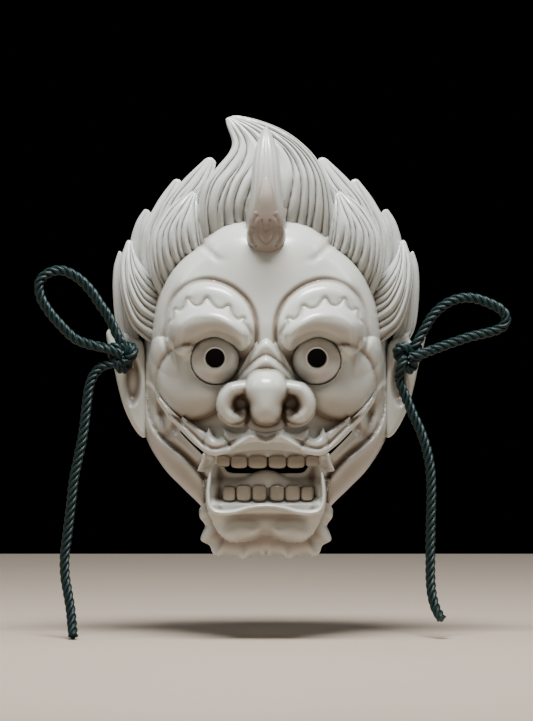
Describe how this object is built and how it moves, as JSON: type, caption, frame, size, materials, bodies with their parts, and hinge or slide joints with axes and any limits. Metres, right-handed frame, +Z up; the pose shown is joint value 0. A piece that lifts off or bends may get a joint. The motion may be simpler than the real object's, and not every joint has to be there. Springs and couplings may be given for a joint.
{
  "type": "noh mask",
  "caption": "Carved white demon theatre mask with flame-like hair locks, a horn, bulging eyes, bared teeth and two twisted tie cords.",
  "frame": {"origin": "middle of the plane of the rear rim, midway between the two sight holes", "axes": "+Z up through the crown, +Y backwards out of the hollow towards the wearer, the face looks along -Y, +X to the viewer's right"},
  "size_m": [0.2984, 0.095, 0.3257],
  "materials": {
    "gofun": "satin white shell-lime paint over carved wood",
    "horn": "satin white paint toned brown",
    "teeth": "polished white paint, slightly yellower",
    "eye_shell": "polished white paint",
    "ring": "polished white bevelled edge",
    "gauze": "fine black open gauze",
    "cord": "silky dark green four-strand twisted cord"
  },
  "bodies": {
    "root": {"face_shell": "gofun", "left_eye": "eye_shell", "right_eye": "eye_shell", "left_pupil_ring": "ring", "right_pupil_ring": "ring", "left_eye_gauze": "gauze", "right_eye_gauze": "gauze", "left_brow": "gofun", "right_brow": "gofun", "left_front_lock": "gofun", "right_front_lock": "gofun", "left_side_lock": "gofun", "right_side_lock": "gofun", "left_rear_lock": "gofun", "right_rear_lock": "gofun", "left_outer_rear_lock": "gofun", "right_outer_rear_lock": "gofun", "left_curl": "gofun", "right_curl": "gofun", "left_outer_lock": "gofun", "right_outer_lock": "gofun", "left_moustache": "gofun", "right_moustache": "gofun", "left_corner_fang": "teeth", "right_corner_fang": "teeth", "left_ear": "gofun", "right_ear": "gofun", "nose": "gofun", "horn": "horn", "horn_sheath": "gofun", "crown_lock": "gofun", "upper_gum": "gofun", "lower_gum": "gofun", "tongue": "gofun", "lower_lip": "gofun", "chin_frill": "gofun", "upper_left_tooth_1": "teeth", "upper_left_tooth_2": "teeth", "upper_left_tooth_3": "teeth", "upper_right_tooth_1": "teeth", "upper_right_tooth_2": "teeth", "upper_right_tooth_3": "teeth", "lower_left_tooth_1": "teeth", "lower_left_tooth_2": "teeth", "lower_left_tooth_3": "teeth", "lower_right_tooth_1": "teeth", "lower_right_tooth_2": "teeth", "lower_right_tooth_3": "teeth", "left_cord_knot": "cord", "left_cord_loop": "cord", "left_cord_tail": "cord", "right_cord_knot": "cord", "right_cord_loop": "cord", "right_cord_tail": "cord"}
  },
  "joints": []
}
